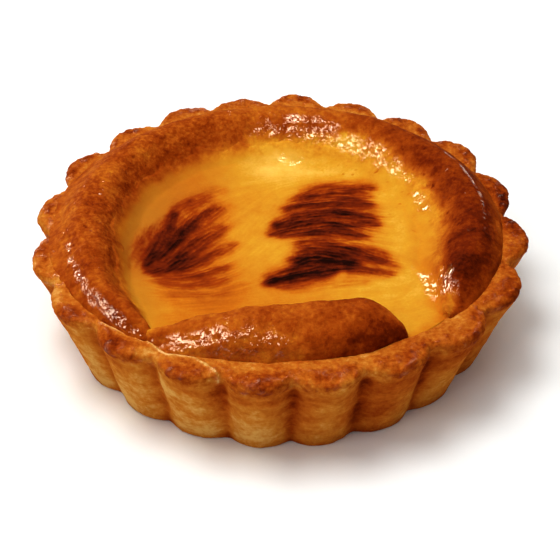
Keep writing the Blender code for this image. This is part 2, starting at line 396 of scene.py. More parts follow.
def filling_grid():
    """The filling's grid, climb up the collar's slope (negative inwards), turn to pastry, azimuths."""
    azimuth = COLLAR_MIDDLE - 180.0 + np.arange(FILLING_COLUMNS) * 360.0 / FILLING_COLUMNS
    floor = FLOOR_THICKNESS + OVERLAP
    rows = [
        polar(0.5 * FLOOR_RADIUS, azimuth, floor),
        polar(FLOOR_RADIUS - OVERLAP, azimuth, floor),
        polar(inner_wall_radius(azimuth, HIDDEN_HEIGHT), azimuth, HIDDEN_HEIGHT),
    ]
    climbs = [np.full(azimuth.shape, HIDDEN_CLIMB)] * len(rows)
    melts = [np.zeros(azimuth.shape)] * len(rows)
    edge = inner_wall_radius(azimuth, filling_height(seam_radius(azimuth), azimuth)) + OVERLAP
    yields = by_azimuth(FILLING_EDGE, azimuth)
    for share in np.linspace(1.0, 0.008, FILLING_ROWS):
        radius = share * edge
        climb, slope, before_crest = collar_slope(radius, azimuth)
        bare = polar(radius, azimuth, filling_height(radius, azimuth))
        ragged = 0.10 * rough(bare, 4.0, 74)
        past = np.maximum(np.maximum(COLLAR_START - azimuth, azimuth - COLLAR_END), 0.0)
        climb = np.where(past > 0.0, -np.hypot(climb, np.radians(past) * radius / CLIMB_REACH), climb)
        near = climb + ragged - yields
        over = mix(*FILM_RISES, smooth(near / 0.2)) * smooth(climb / 0.06)
        bare[..., 2] = mix(bare[..., 2], slope + over, smooth(before_crest / 0.25))
        rows.append(bare)
        climbs.append(climb)
        melts.append(smooth(near / 0.25 + 1.1) * (past == 0.0))
    return np.array(rows), np.array(climbs), np.array(melts), azimuth


# ---- the collar and the puff


BED_POINTS = 5
OUTER_POINTS = 30
INNER_POINTS = 56
SPILL_REACH = 2.2 * MM  # how far a puffed piece spilled over the ledge, at most
LEDGE_WIDTH = 4.5 * MM
LEAST_RISE = 1.0 * MM  # from a puffed piece's bed to its crest
EDGE_SINKS = (0.6 * MM, 0.22 * MM)  # of its outer edge under the ledge, unspilled and fully spilled
FRONT_START = 196.0  # azimuth from which the collar is lower, and its crest nearer the ledge
FRONT_REACH = 24.0
FRONT_DROP = 1.2 * MM
FRONT_CREST_INSET = 2.0 * MM
RIGHT_TAIL = 16.0  # degrees over which the collar's right end rises
# by azimuth, how many mm wider than the solid the collar's foot is, and how full its inner slope is
COLLAR_FOOT = (
    (-42.0, -36.0, -27.0, -18.0, 40.0, 75.0, 120.0, 150.0, 175.0, 200.0, 215.0, 225.0, 233.0),
    (-4.0, -5.0, -2.6, 1.0, 3.5, 3.0, 3.0, 4.5, 6.0, 4.5, 1.8, 0.7, -1.5),
    (1.2, 1.2, 1.2, 1.1, 1.0, 1.0, 1.1, 1.2, 1.6, 1.6, 1.2, 1.2, 1.2),
)


def ledge_height(radius, azimuth):
    """About the height of the case's ledge, from the seam out to the rim."""
    share = clamp((radius - seam_radius(azimuth)) / LEDGE_WIDTH)
    return seam_height(azimuth) + SEAM_SINK * share + LEDGE_BULGE * np.sin(np.pi * share)


def cross_section(azimuth, width, crest_inset, crest_height):
    """Radii of a puffed piece's outer foot, inner foot and crest, and the crest's height."""
    bed = filling_height(seam_radius(azimuth), azimuth)
    outer = inner_wall_radius(azimuth, bed) + OVERLAP
    inner = outer - width
    crest = np.maximum(outer - crest_inset, mix(inner, outer, 0.5))
    return outer, inner, crest, np.maximum(crest_height, bed + LEAST_RISE)


def puffed_grid(azimuth, width, crest_inset, crest_height, fullness, spill, full_height):
    """The slices of a puffed piece, round its bed, its outer slope, its crest and its inner slope.

    Also its climb, which is 0 at the inner foot, 1 on a crest of full height and 2 at the outer foot.
    The azimuths run downwards, so that the faces point out.
    """
    azimuth, width, crest_inset, crest_height, fullness, spill = (
        np.broadcast_to(value, azimuth.shape)[:, None]
        for value in (azimuth, width, crest_inset, crest_height, fullness, spill)
    )
    outer, inner, crest, top = cross_section(azimuth, width, crest_inset, crest_height)
    bed_radius = mix(inner, outer, np.linspace(0.0, 1.0, BED_POINTS))
    under = polar(bed_radius, azimuth, filling_height(bed_radius, azimuth) - 2.0 * FOOT_SINK)
    low = filling_height(inner, azimuth) - FOOT_SINK
    reached = clamp((top - low) / (full_height - low))
    edge = outer + spill * SPILL_REACH
    share = sin_deg(np.linspace(90.0, 0.0, OUTER_POINTS))
    rise = mix(round_fall(share), wave_fall(share), 0.85 * spill)
    edge_height = ledge_height(edge, azimuth) - mix(*EDGE_SINKS, spill)
    outside = polar(mix(crest, edge, share), azimuth, mix(edge_height, top, rise))
    outer_climb = mix(2.0, reached, rise)
    share = sin_deg(np.linspace(0.0, 90.0, INNER_POINTS + 1)[1:])
    rise = wave_fall(share**fullness)
    inside = polar(mix(crest, inner, share), azimuth, mix(low, top, rise))
    climb = np.concatenate((np.zeros(under.shape[:2]), outer_climb, reached * rise), axis=1)
    return np.concatenate((under, outside, inside), axis=1), climb


def wave_fall(share):
    """From 1 down to 0, level at both ends."""
    return 0.5 + 0.5 * np.cos(np.pi * share)


def round_fall(share):
    """From 1 down to 0, level at first and upright at the end."""
    return np.sqrt(np.maximum(0.0, 1.0 - share * share))


def collar_width(azimuth):
    narrowed = smooth((azimuth - NARROWING_START) / (NARROWING_END - NARROWING_START))
    return mix(COLLAR_WIDE, COLLAR_NARROW, narrowed) + WIDTH_UNEVENNESS * uneven(azimuth, seed=21)


def collar_size(azimuth):
    """1 along the collar, rounding off to 0 at its two ends."""
    nearest = np.minimum((azimuth - COLLAR_START) / COLLAR_TAPER, (COLLAR_END - azimuth) / COLLAR_TAIL)
    return np.sqrt(1.0 - clamp(1.0 - nearest) ** 2)


def collar_form(azimuth):
    """The collar's width, crest inset, crest height and the fullness of its inner slope."""
    size = collar_size(azimuth)
    front = smooth((azimuth - FRONT_START) / FRONT_REACH)
    crest = COLLAR_CREST + CREST_UNEVENNESS * uneven(azimuth, seed=22) - FRONT_DROP * front
    gentle = smooth((azimuth - COLLAR_START) / RIGHT_TAIL)
    height = mix(seam_height(azimuth), crest, np.minimum(size, gentle))
    width = size * (collar_width(azimuth) + by_azimuth(COLLAR_FOOT, azimuth) * MM)
    inset = mix(CREST_INSET, FRONT_CREST_INSET, front)
    return width, inset, height, by_azimuth(COLLAR_FOOT, azimuth, row=2)


def collar_slope(radius, azimuth):
    """Climb and height of the collar's inner slope at a radius, and the share left to its crest."""
    width, inset, height, fullness = collar_form(azimuth)
    inner, crest, top = cross_section(azimuth, width, inset, height)[1:]
    share = clamp((crest - radius) / np.maximum(crest - inner, 0.5 * MM))
    low = filling_height(inner, azimuth)
    rise = wave_fall(share**fullness) * (collar_size(azimuth) > 0.0)
    climb = rise * (top - low) / (COLLAR_CREST - low)
    slope = np.maximum(filling_height(radius, azimuth), mix(low, top, rise))
    slope = np.where(radius > inner, slope, filling_height(radius, azimuth))
    return np.where(radius > inner, climb, (radius - inner) / CLIMB_REACH), slope, share


# by azimuth, how far the collar spilled over the ledge, and then the same of the puff's tip
COLLAR_SPILL = ((110.0, 170.0, 200.0, 228.0), (0.45, 1.0, 1.0, 0.55))
PUFF_SPILL = ((236.0, 239.0, 243.0, 247.0, 250.0, 255.0), (0.1, 0.3, 0.7, 0.4, 0.3, 0.0))
# where along its length the puff stands higher: share, reach and height
PUFF_HUMPS = ((0.80, 0.13, 0.7 * MM), (0.50, 0.28, 1.1 * MM))
PUFF_BEND = (0.45, 0.28, 1.8 * MM)  # the same of how far its crest bends inwards


def collar_grid():
    turns = np.linspace(2.0, 90.0, 36)[:-1]
    taper = 1.0 - cos_deg(turns)
    middle = np.linspace(COLLAR_START + COLLAR_TAPER, COLLAR_END - COLLAR_TAIL, 600)
    ends = COLLAR_START + COLLAR_TAPER * taper, COLLAR_END - COLLAR_TAIL * taper[::-1]
    azimuth = np.concatenate((ends[0], middle, ends[1]))[::-1]
    width, inset, height, fullness = collar_form(azimuth)
    spill = by_azimuth(COLLAR_SPILL, azimuth) * np.sqrt(collar_size(azimuth))
    grid, climb = puffed_grid(azimuth, width, inset, height, fullness, spill, COLLAR_CREST)
    return grid, azimuth, climb


def puff_size(share):
    tip = 1.0 - (1.0 - np.minimum(share / PUFF_WIDEST, 1.0)) ** PUFF_TIP_POWER
    end = 1.0 - clamp((share - PUFF_WIDEST) / (1.0 - PUFF_WIDEST)) ** PUFF_END_POWER
    return np.where(share < PUFF_WIDEST, tip, end)


def puff_grid():
    share = 0.5 - 0.5 * cos_deg(180.0 * np.linspace(0.985, 0.03, 240))
    azimuth = mix(PUFF_START, PUFF_END, share)
    size = puff_size(share)
    width = np.maximum(PUFF_LEAST_WIDTH, PUFF_WIDTH * size)
    crest = PUFF_CREST + PUFF_UNEVENNESS * uneven(3.0 * azimuth, seed=31)
    height = mix(seam_height(azimuth), crest, np.sqrt(size))
    height = height + sum(extra * bell((share - at) / reach) for at, reach, extra in PUFF_HUMPS)
    at, reach, inwards = PUFF_BEND
    inset = PUFF_CREST_INSET + inwards * bell((share - at) / reach)
    spill = by_azimuth(PUFF_SPILL, azimuth)
    grid, climb = puffed_grid(azimuth, width, inset, height, 1.9, spill, PUFF_CREST)
    return grid, share, climb


# ---- materials


def linear(red, green, blue):
    """A colour given as on a screen, 0 to 255, as the shader wants it."""
    levels = [value / 255.0 for value in (red, green, blue)]
    return tuple(v / 12.92 if v <= 0.04045 else ((v + 0.055) / 1.055) ** 2.4 for v in levels) + (1.0,)


class Nodes:
    """A new material's nodes, made one by one."""

    def __init__(self, name):
        self.material = bpy.data.materials.new(name)
        self.material.use_nodes = True
        self.tree = self.material.node_tree
        self.shader = self.tree.nodes["Principled BSDF"]
        self.place = self.add("ShaderNodeTexCoord").outputs["Object"]
        self.set(specular_ior_level=DRY_SPECULAR)

    def add(self, kind, **settings):
        node = self.tree.nodes.new(kind)
        for key, value in settings.items():
            setattr(node, key, value)
        return node

    def feed(self, socket, value):
        if isinstance(value, bpy.types.NodeSocket):
            self.tree.links.new(value, socket)
        else:
            socket.default_value = value

    def fill(self, node, **values):
        """Set or link a node's inputs, named with _ for a space."""
        for name, value in values.items():
            name = name.replace("_", " ").title().replace("Ior", "IOR")
            self.feed(node.inputs[name], value)
        return node.outputs[0]

    def field(self, name):
        return self.add("ShaderNodeAttribute", attribute_name=name).outputs["Fac"]

    def math(self, operation, a, b=0.0, c=0.0):
        node = self.add("ShaderNodeMath", operation=operation)
        for socket, value in zip(node.inputs, (a, b, c)):
            self.feed(socket, value)
        return node.outputs[0]

    def times(self, a, b, plus=0.0):
        return self.math("MULTIPLY_ADD", a, b, plus)

    def range(self, value, low, high, out_low=0.0, out_high=1.0):
        node = self.add("ShaderNodeMapRange", interpolation_type="SMOOTHSTEP")
        return self.fill(node, value=value, from_min=low, from_max=high, to_min=out_low, to_max=out_high)

    def noise(self, size, detail=3.0, roughness=0.55, stretch=(1.0, 1.0, 1.0), offset=0.0):
        """Noise between about -1 and 1, of lumps of about this size in mm."""
        scale = [1.0 / (size * MM * part) for part in stretch]
        location = (offset, 2.0 * offset, 3.0 * offset)
        spread = self.add("ShaderNodeMapping")
        place = self.fill(spread, vector=self.place, scale=scale, location=location)
        node = self.add("ShaderNodeTexNoise")
        self.fill(node, vector=place, scale=1.0, detail=detail, roughness=roughness)
        return self.times(node.outputs["Fac"], 3.4, -1.7)

    def ramp(self, value, stops):
        node = self.add("ShaderNodeValToRGB")
        elements = node.color_ramp.elements
        while len(elements) < len(stops):
            elements.new(0.5)
        for element, (position, *colour) in zip(elements, stops):
            element.position = position
            element.color = linear(*colour)
        return self.fill(node, fac=value)

    def blend(self, share, a, b):
        node = self.add("ShaderNodeMix", data_type="RGBA")
        self.fill(node, factor=share, a=a, b=b)
        return node.outputs["Result"]

    def bump(self, height, distance, before=None):
        node = self.add("ShaderNodeBump")
        if before is not None:
            self.fill(node, normal=before)
        return self.fill(node, distance=distance * MM, height=height)

    def set(self, **values):
        self.fill(self.shader, **values)
        return self.material


DRY_SPECULAR = 0.005  # next to none, as the coat alone shines
SCATTER_RADIUS = (1.0, 0.42, 0.14)
# the olive colour of painted shade, blended into the filling by the collar's left foot
SHADED_FILLING_COLOUR = (188, 128, 42)

CRUST_COLOURS = (
    (0.0, 222, 172, 96),
    (0.2, 206, 134, 50),
    (0.4, 190, 106, 32),
    (0.6, 164, 76, 16),
    (0.8, 128, 48, 8),
    (1.0, 80, 22, 4),
)
GLAZED_COLOURS = (
    (0.0, 226, 172, 60),
    (0.15, 216, 152, 44),
    (0.3, 202, 124, 34),
    (0.45, 184, 98, 26),
    (0.6, 162, 74, 14),
    (0.8, 124, 44, 6),
    (1.0, 76, 20, 3),
)
FILLING_COLOURS = (
    (0.0, 246, 208, 108),
    (0.14, 219, 164, 50),
    (0.3, 204, 122, 28),
    (0.46, 168, 74, 14),
    (0.62, 130, 47, 11),
    (0.78, 94, 30, 9),
    (0.92, 52, 13, 4),
    (1.0, 34, 7, 2),
)


def shortcrust():
    nodes = Nodes("shortcrust")
    grain = nodes.noise(1.0, detail=5.0, roughness=0.62)
    layers = nodes.noise(0.5, detail=4.0, stretch=(5.0, 5.0, 1.0))
    crumb = nodes.field("crumb")
    plain = nodes.times(crumb, -1.0, 1.0)
    level = nodes.times(grain, 0.15, nodes.field("bake"))
    level = nodes.times(nodes.times(layers, plain), 0.04, level)
    level = nodes.times(nodes.times(grain, crumb), 0.16, level)
    colour = nodes.ramp(level, CRUST_COLOURS)
    fine = nodes.noise(0.4, offset=4.0)
    normal = nodes.bump(grain, 0.10)
    normal = nodes.bump(nodes.times(layers, plain), 0.05, normal)
    normal = nodes.bump(fine, 0.025, normal)
    gloss = nodes.field("gloss")
    dew = nodes.range(nodes.noise(0.9, detail=2.0, offset=13.0), 0.7, 0.9)
    dew = nodes.times(nodes.times(dew, crumb), 0.8)
    return nodes.set(
        base_color=colour,
        roughness=nodes.range(gloss, 0.0, 1.0, 0.66, 0.4),
        normal=normal,
        coat_normal=normal,
        coat_weight=nodes.math("MAXIMUM", gloss, dew),
        coat_roughness=0.12,
        coat_ior=1.6,
    )


def crinkles(nodes):
    """Relief of wet glaze, coarser where the field lumpy says so."""
    fine = nodes.noise(1.7, detail=1.5, offset=11.0)
    coarse = nodes.times(nodes.noise(3.2, detail=1.5, offset=17.0), 1.7)
    lumpy = nodes.field("lumpy")
    plain = nodes.times(fine, nodes.times(lumpy, -1.0, 1.0))
    return nodes.times(coarse, lumpy, plain)


def mottling(nodes):
    blotch = nodes.noise(2.6, detail=5.0, roughness=0.6, offset=3.0)
    speck = nodes.noise(0.9, roughness=0.6, offset=7.0)
    return blotch, speck


def pastry_colour(nodes, bake, crumb=0.2):
    """The mottled colour of glazed pastry at a degree of browning."""
    blotch, speck = mottling(nodes)
    level = nodes.times(blotch, 0.15, bake)
    level = nodes.times(speck, 0.09, level)
    level = nodes.times(nodes.times(speck, crumb), 0.12, level)
    return nodes.ramp(level, GLAZED_COLOURS)


def glazed_pastry(name):
    nodes = Nodes(name)
    crumb = nodes.field("crumb")
    colour = pastry_colour(nodes, nodes.field("bake"), crumb)
    blotch, speck = mottling(nodes)
    gloss = nodes.field("gloss")
    crackle = nodes.times(crinkles(nodes), gloss)
    normal = nodes.bump(blotch, 0.14)
    normal = nodes.bump(speck, 0.06, normal)
    normal = nodes.bump(crackle, 0.05, normal)
    beads = nodes.noise(0.9, detail=2.0, offset=13.0)
    dew = nodes.times(nodes.range(beads, 0.7, 0.9), crumb)
    glaze = nodes.times(beads, 0.15, crackle)
    return nodes.set(
        base_color=colour,
        roughness=nodes.range(gloss, 0.0, 1.0, 0.6, 0.4),
        normal=normal,
        coat_normal=nodes.bump(glaze, 0.22),
        coat_weight=nodes.math("MAXIMUM", gloss, dew),
        coat_roughness=0.06,
        coat_ior=1.7,
    )


def peach():
    nodes = Nodes("peach")
    cloud = nodes.noise(2.5, detail=4.0, offset=5.0)
    speck = nodes.noise(0.5, detail=2.0, offset=9.0)
    level = nodes.times(cloud, 0.03, nodes.field("bake"))
    level = nodes.times(speck, 0.02, level)
    colour = nodes.ramp(level, FILLING_COLOURS)
    gloss = nodes.field("gloss")
    crackle = nodes.times(crinkles(nodes), gloss)
    normal = nodes.bump(cloud, 0.05)
    normal = nodes.bump(speck, 0.012, normal)
    normal = nodes.bump(crackle, 0.05, normal)
    # painted shade: darker and olive where the collar shades the filling at its left
    colour = nodes.blend(nodes.field("painted_shade"), colour, linear(*SHADED_FILLING_COLOUR))
    melted = pastry_colour(nodes, nodes.field("pastry_bake"))
    colour = nodes.blend(nodes.field("melt"), colour, melted)
    return nodes.set(
        base_color=colour,
        roughness=nodes.range(gloss, 0.0, 1.0, 0.55, 0.35),
        normal=normal,
        coat_normal=nodes.bump(crackle, 0.22),
        subsurface_weight=0.18,
        subsurface_radius=SCATTER_RADIUS,
        subsurface_scale=1.6 * MM,
        coat_weight=gloss,
        coat_roughness=0.08,
        coat_ior=1.6,
    )


# ---- browning


def patches(azimuth, share, spots):
    """The sum of soft spots, each given as azimuth, share, their two reaches, and amount."""
    return sum(
        amount * bell(turned_off(azimuth, centre) / turn) * bell((share - middle) / spread)
        for centre, middle, turn, spread, amount in spots
    )


# the strokes in which the filling browned: x and y of three points, and width, in mm, then darkness
STROKES = (
    (-26.8, -11.5, -24.6, -2.5, -22.6, 7.0, 2.2, 0.62),
    (-26.2, -13.2, -23.8, -11.6, -20.6, -8.0, 2.8, 0.62),
    (-23.0, 6.6, -19.6, 10.2, -15.2, 13.6, 2.0, 0.30),
    (-22.5, 9.6, -18.0, 13.6, -12.5, 16.6, 2.4, 0.16),
    (-23.6, -8.1, -19.6, 0.8, -13.4, 9.6, 2.1, 0.54),
    (-22.3, -1.5, -20.9, 2.8, -18.3, 7.8, 1.8, 0.22),
    (-20.8, -9.0, -16.8, -3.0, -12.4, 2.2, 3.4, 0.37),
    (-22.0, -12.5, -19.4, -7.5, -16.0, -2.0, 2.2, 0.40),
    (-20.5, -12.6, -15.5, -9.0, -9.6, -3.4, 2.2, 0.38),
    (-23.5, -14.5, -18.0, -14.8, -11.5, -12.5, 4.6, 0.36),
    (-25.0, -17.5, -18.0, -19.5, -9.0, -18.0, 5.0, 0.11),
    (-29.8, -13.0, -29.4, -7.0, -27.8, 2.0, 2.3, 0.22),
    (4.5, 14.0, 12.0, 17.0, 20.0, 16.6, 2.5, 0.46),
    (2.6, 12.2, 11.5, 14.2, 19.4, 13.4, 2.0, 0.34),
    (1.5, 9.5, 10.5, 11.5, 18.8, 10.5, 3.4, 0.46),
    (-0.5, 3.5, 9.0, 7.2, 20.0, 5.4, 3.2, 0.60),
    (-2.0, 0.2, 6.0, 3.2, 20.2, 3.2, 2.0, 0.55),
    (0.0, -0.2, 8.0, 1.0, 17.5, -0.8, 2.2, 0.50),
    (3.5, -3.5, 12.0, -4.2, 21.5, -9.5, 2.4, 0.48),
    (11.0, -4.6, 16.5, -6.2, 21.0, -8.8, 2.2, 0.24),
    (14.0, -7.0, 18.5, -9.4, 22.5, -12.0, 3.6, 0.10),
    (4.0, -9.2, 8.5, -8.2, 14.0, -10.0, 4.4, 0.99),
    (-2.4, -16.6, 3.0, -13.6, 11.0, -11.8, 2.6, 0.88),
    (-1.6, -17.2, 5.0, -15.8, 11.5, -12.6, 1.4, 0.40),
    (12.0, -9.4, 17.5, -9.6, 23.0, -11.4, 2.8, 0.20),
    (13.0, -12.4, 17.5, -13.0, 22.4, -14.2, 1.7, 0.50),
    (1.0, -18.4, 8.0, -17.2, 17.0, -16.4, 1.8, 0.16),
    (-26.0, -9.0, -19.5, 0.0, -14.0, 10.0, 6.5, 0.22),
    (4.0, 3.0, 11.0, 4.0, 17.0, 1.0, 8.5, 0.26),
)
# soft spots where the filling is browner or paler: place and reach in mm, then amount
FILLING_TINTS = (
    (-14.0, -25.0, 13.0, 0.14),
    (4.0, -22.0, 9.0, 0.05),
    (-34.0, -4.0, 7.0, 0.12),
    (-24.0, 8.0, 9.0, 0.03),
    (-2.0, 2.0, 12.0, 0.01),
    (-8.0, 15.0, 7.0, 0.05),
    (-2.0, 27.0, 8.0, -0.10),
    (27.0, 0.0, 9.0, -0.05),
    (16.0, -24.0, 8.0, -0.04),
    (-20.0, -23.0, 7.0, -0.03),
    (-20.0, -29.5, 6.0, 0.03),
    (-27.0, -22.0, 5.0, -0.05),
)
# x and y of three points on further lines that the filling's fibres follow
GUIDES = (
    (-32.5, -14.0, -33.0, 4.0, -25.0, 20.0),
    (-20.0, 24.0, -4.0, 28.5, 16.0, 27.0),
    (-12.0, 19.0, 0.0, 22.5, 12.0, 23.5),
    (-24.0, -24.0, -8.0, -22.0, 12.0, -20.0),
    (-12.0, -18.0, -6.0, -13.0, -1.0, -6.0),
    (-8.0, -4.0, -4.0, 6.0, 0.0, 13.0),
    (26.0, -20.0, 29.0, -6.0, 26.0, 12.0),
)
CHART_REACH = 46.0  # mm from the middle to the chart's edges
CHART_STEP = 0.12  # mm
COMBING_STEP = 0.25  # mm
COARSER = 6  # steps of the chart between the points of its coarse fields


def bend(points, steps=40):
    """Points, and directions, along the curve through three points."""
    start, middle, end = np.reshape(points, (3, 2))
    pull = 2.0 * middle - (start + end) / 2.0
    share = np.linspace(0.0, 1.0, steps)[:, None]
    at = (1 - share) ** 2 * start + 2 * share * (1 - share) * pull + share**2 * end
    way = (1 - share) * (pull - start) + share * (end - pull)
    return at, way / np.linalg.norm(way, axis=1, keepdims=True)


class Chart:
    """Fields over the filling, seen from above, at a finer step than the mesh."""

    def __init__(self):
        self.count = COARSER * round(2.0 * CHART_REACH / CHART_STEP / COARSER) + 1
        line = np.linspace(-CHART_REACH, CHART_REACH, self.count)
        self.x, self.y = np.meshgrid(line, line)
        self.coarse = self.x[::COARSER, ::COARSER], self.y[::COARSER, ::COARSER]
        self.flow = self.directions()
        self.fibres = self.combed(2.2, 41, length=7.0)
        self.hairs = self.combed(0.6, 42, length=4.5)
        self.dashes = self.combed(0.6, 43, length=1.5)
        self.char = self.strokes()

    def directions(self):
        """Unit vectors that follow the nearest strokes and guides."""
        x, y = self.coarse
        total = np.zeros(x.shape + (2,))
        for curve in STROKES + GUIDES:
            at, way = bend(curve[:6], 16)
            for (px, py), direction in zip(at, way):
                weight = 1.0 / ((x - px) ** 2 + (y - py) ** 2 + 4.0) ** 2
                total += weight[..., None] * direction
        total /= np.linalg.norm(total, axis=-1, keepdims=True)
        return np.stack([self.finer(total[..., k]) for k in (0, 1)], axis=-1)

    def finer(self, coarse):
        """A coarse field at the chart's own step."""
        place = np.arange(self.count) / COARSER
        low = np.minimum(place.astype(int), len(coarse) - 2)
        share = (place - low)[:, None]
        rows = mix(coarse[low], coarse[low + 1], share)
        return mix(rows[:, low], rows[:, low + 1], share.T)

    def combed(self, size, seed, length):
        """Noise smeared along the directions, about -1 to 1."""
        points = np.stack((self.x, self.y, np.zeros_like(self.x)), axis=-1)
        grain = noise(points * MM, size, seed)
        total = grain.copy()
        steps = round(length / 2.0 / COMBING_STEP)
        stride = COMBING_STEP / CHART_STEP
        for way in (1.0, -1.0):
            row = (self.y + CHART_REACH) / CHART_STEP
            column = (self.x + CHART_REACH) / CHART_STEP
            for _ in range(steps):
                at = self.clipped(row), self.clipped(column)
                flow = self.flow[at]
                column = column + way * flow[..., 0] * stride
                row = row + way * flow[..., 1] * stride
                total += grain[self.clipped(row), self.clipped(column)]
        return np.clip(total / total.std() / 1.6, -1.6, 1.6)

    def clipped(self, place):
        return np.clip(np.rint(place).astype(int), 0, self.count - 1)

    def strokes(self):
        """How dark the filling browned, 0 where it didn't."""
        x, y = self.coarse
        char = np.zeros_like(x)
        for *curve, width, dark in STROKES:
            at = bend(curve)[0]
            away = (x[..., None] - at[:, 0]) ** 2 + (y[..., None] - at[:, 1]) ** 2
            share = away.argmin(axis=-1) / (len(at) - 1.0)
            taper = 0.5 + 0.5 * np.sqrt(clamp(4.0 * share * (1.0 - share)))
            away = np.sqrt(away.min(axis=-1)) / (width * taper)
            char = 1.0 - (1.0 - char) * (1.0 - dark * bell(away))
        return self.finer(np.minimum(char, 1.25))

    def read(self, field, points):
        """The field at points in metres."""
        points = points + centring()
        steps = (points[..., :2] / MM + CHART_REACH) / CHART_STEP
        column, row = np.moveaxis(np.clip(steps, 0, self.count - 1.001), -1, 0)
        left, low = column.astype(int), row.astype(int)
        across, up = column - left, row - low
        below = mix(field[low, left], field[low, left + 1], across)
        above = mix(field[low + 1, left], field[low + 1, left + 1], across)
        return mix(below, above, up)


# by azimuth, how brown the filling is where it meets the collar, and the collar's inner foot; from about
# 130 to 205 degrees it is raised, partly as painted shade at the collar's foot
FOOT_BAKE_AND_SHADE = (
    (-37.0, -12.0, 20.0, 60.0, 95.0, 130.0, 165.0, 190.0, 205.0, 215.0, 240.0),
    (0.24, 0.19, 0.14, 0.10, 0.03, 0.30, 0.38, 0.33, 0.29, 0.22, 0.22),
)
# by azimuth, the climb from which the collar gets browner, and over how much climb
COLLAR_BROWNING = (
    (-43.0, -34.0, -12.0, 20.0, 60.0, 95.0, 130.0, 165.0, 185.0, 203.0, 215.0, 240.0),
    (0.60, 0.25, 0.25, 0.35, 0.50, 0.15, -0.10, 0.0, 0.20, 0.10, 0.0, -0.1),
    (0.80, 0.50, 0.50, 0.50, 0.45, 0.55, 0.60, 0.60, 0.50, 0.50, 0.50, 0.5),
)
CREST_BAKE = 0.55
# patches of the collar that are browner or paler: azimuth, climb, their reaches, amount
COLLAR_TONES = (
    (-4.0, 1.1, 28.0, 0.40, 0.27),
    (26.0, 0.85, 11.0, 0.25, 0.08),
    (42.0, 1.15, 16.0, 0.42, 0.11),
    (30.0, 0.72, 10.0, 0.22, 0.10),
    (92.0, 1.1, 30.0, 0.50, -0.08),
    (140.0, 0.65, 26.0, 0.25, 0.05),
    (165.0, 1.6, 40.0, 0.35, -0.07),
    (216.0, 0.5, 12.0, 0.35, -0.13),
    (224.0, 1.2, 14.0, 0.35, 0.16),
)
# the same with a radius in mm in place of the climb, at the right end
COLLAR_CHAR = ((331.0, 39.0, 13.0, 7.5, 0.19), (343.0, 37.5, 9.0, 6.0, 0.05))
# where glaze lies thick: azimuth, climb, their reaches, amount
WET_SPOTS = (
    (86.0, 0.70, 22.0, 0.30, 0.90),
    (55.0, 0.55, 16.0, 0.26, 0.68),
    (36.0, 0.45, 12.0, 0.22, 0.62),
    (84.0, 0.08, 14.0, 0.12, 0.66),
    (14.0, 0.25, 14.0, 0.22, 0.62),
    (-31.0, 0.50, 6.0, 0.34, 1.3),
    (-31.0, -0.20, 9.0, 0.35, 0.85),
    (12.0, 1.07, 24.0, 0.05, 0.75),
    (226.0, 1.30, 15.0, 0.34, 1.2),
    (202.0, 1.40, 12.0, 0.25, 0.6),
)
WET_THRESHOLD = 0.44
WET_FADE = 0.35
LUMPY_END = 115.0  # azimuth up to which the wet glaze lies in coarse lumps
LUMPY_FADE = 20.0


def collar_bake(azimuth, climb, points):
    """How brown the collar is at a climb: 0 at its inner foot, 1 on its crest and 2 outside; at the
    left, its foot is partly painted shade.
    """
    start, reach = (by_azimuth(COLLAR_BROWNING, azimuth, row) for row in (1, 2))
    ragged = climb + 0.12 * rough(points, 5.0, 52)
    level = mix(by_azimuth(FOOT_BAKE_AND_SHADE, azimuth), CREST_BAKE, smooth((ragged - start) / reach))
    out = np.hypot(points[..., 0], points[..., 1]) / MM
    level = level + patches(azimuth, climb, COLLAR_TONES) + patches(azimuth, out, COLLAR_CHAR)
    return level + 0.10 * rough(points, 6.5, 51)


def lumpiness(azimuth):
    """1 where the wet glaze lies in coarse lumps, and 0 where it is finely crinkled."""
    return smooth((LUMPY_END - azimuth) / LUMPY_FADE)


def collar_wetness(azimuth, climb, points):
    """Where glaze lies thick, from 0 to 1, on the collar and the filling beside it."""
    clumps = 0.7 * noise(points, 3.5, 84) + 0.6 * noise(points, 1.8, 85)
    wet = patches(azimuth, climb, WET_SPOTS) * (1.0 + clumps)
    return smooth((wet - WET_THRESHOLD) / WET_FADE)


# ---- the four pieces


# stretches of the rim that are browner or paler: azimuth, reach, amount
RIM_TONES = (
    (9.0, 12.0, 0.28),
    (38.0, 14.0, 0.09),
    (204.0, 12.0, -0.09),
    (233.0, 7.0, 0.09),
    (243.0, 5.0, -0.11),
    (267.0, 8.0, 0.05),
    (278.0, 24.0, -0.08),
    (308.0, 9.0, 0.15),
    (328.0, 12.0, 0.17),
)
# by azimuth, how much browner the wall is low down and high up: painted light and shade, mostly paler
# towards the front left and browner towards the front right
WALL_LIGHT_AND_SHADE = (
    (212.0, 218.0, 231.0, 242.0, 251.0, 268.0, 282.0, 297.0, 305.0, 316.0, 328.0, 340.0),
    (0.0, -0.20, -0.14, -0.04, -0.13, -0.09, 0.11, 0.17, -0.09, 0.05, 0.05, 0.0),
    (0.0, -0.04, 0.0, -0.14, 0.0, 0.06, 0.01, 0.12, 0.13, 0.13, -0.03, 0.0),
)


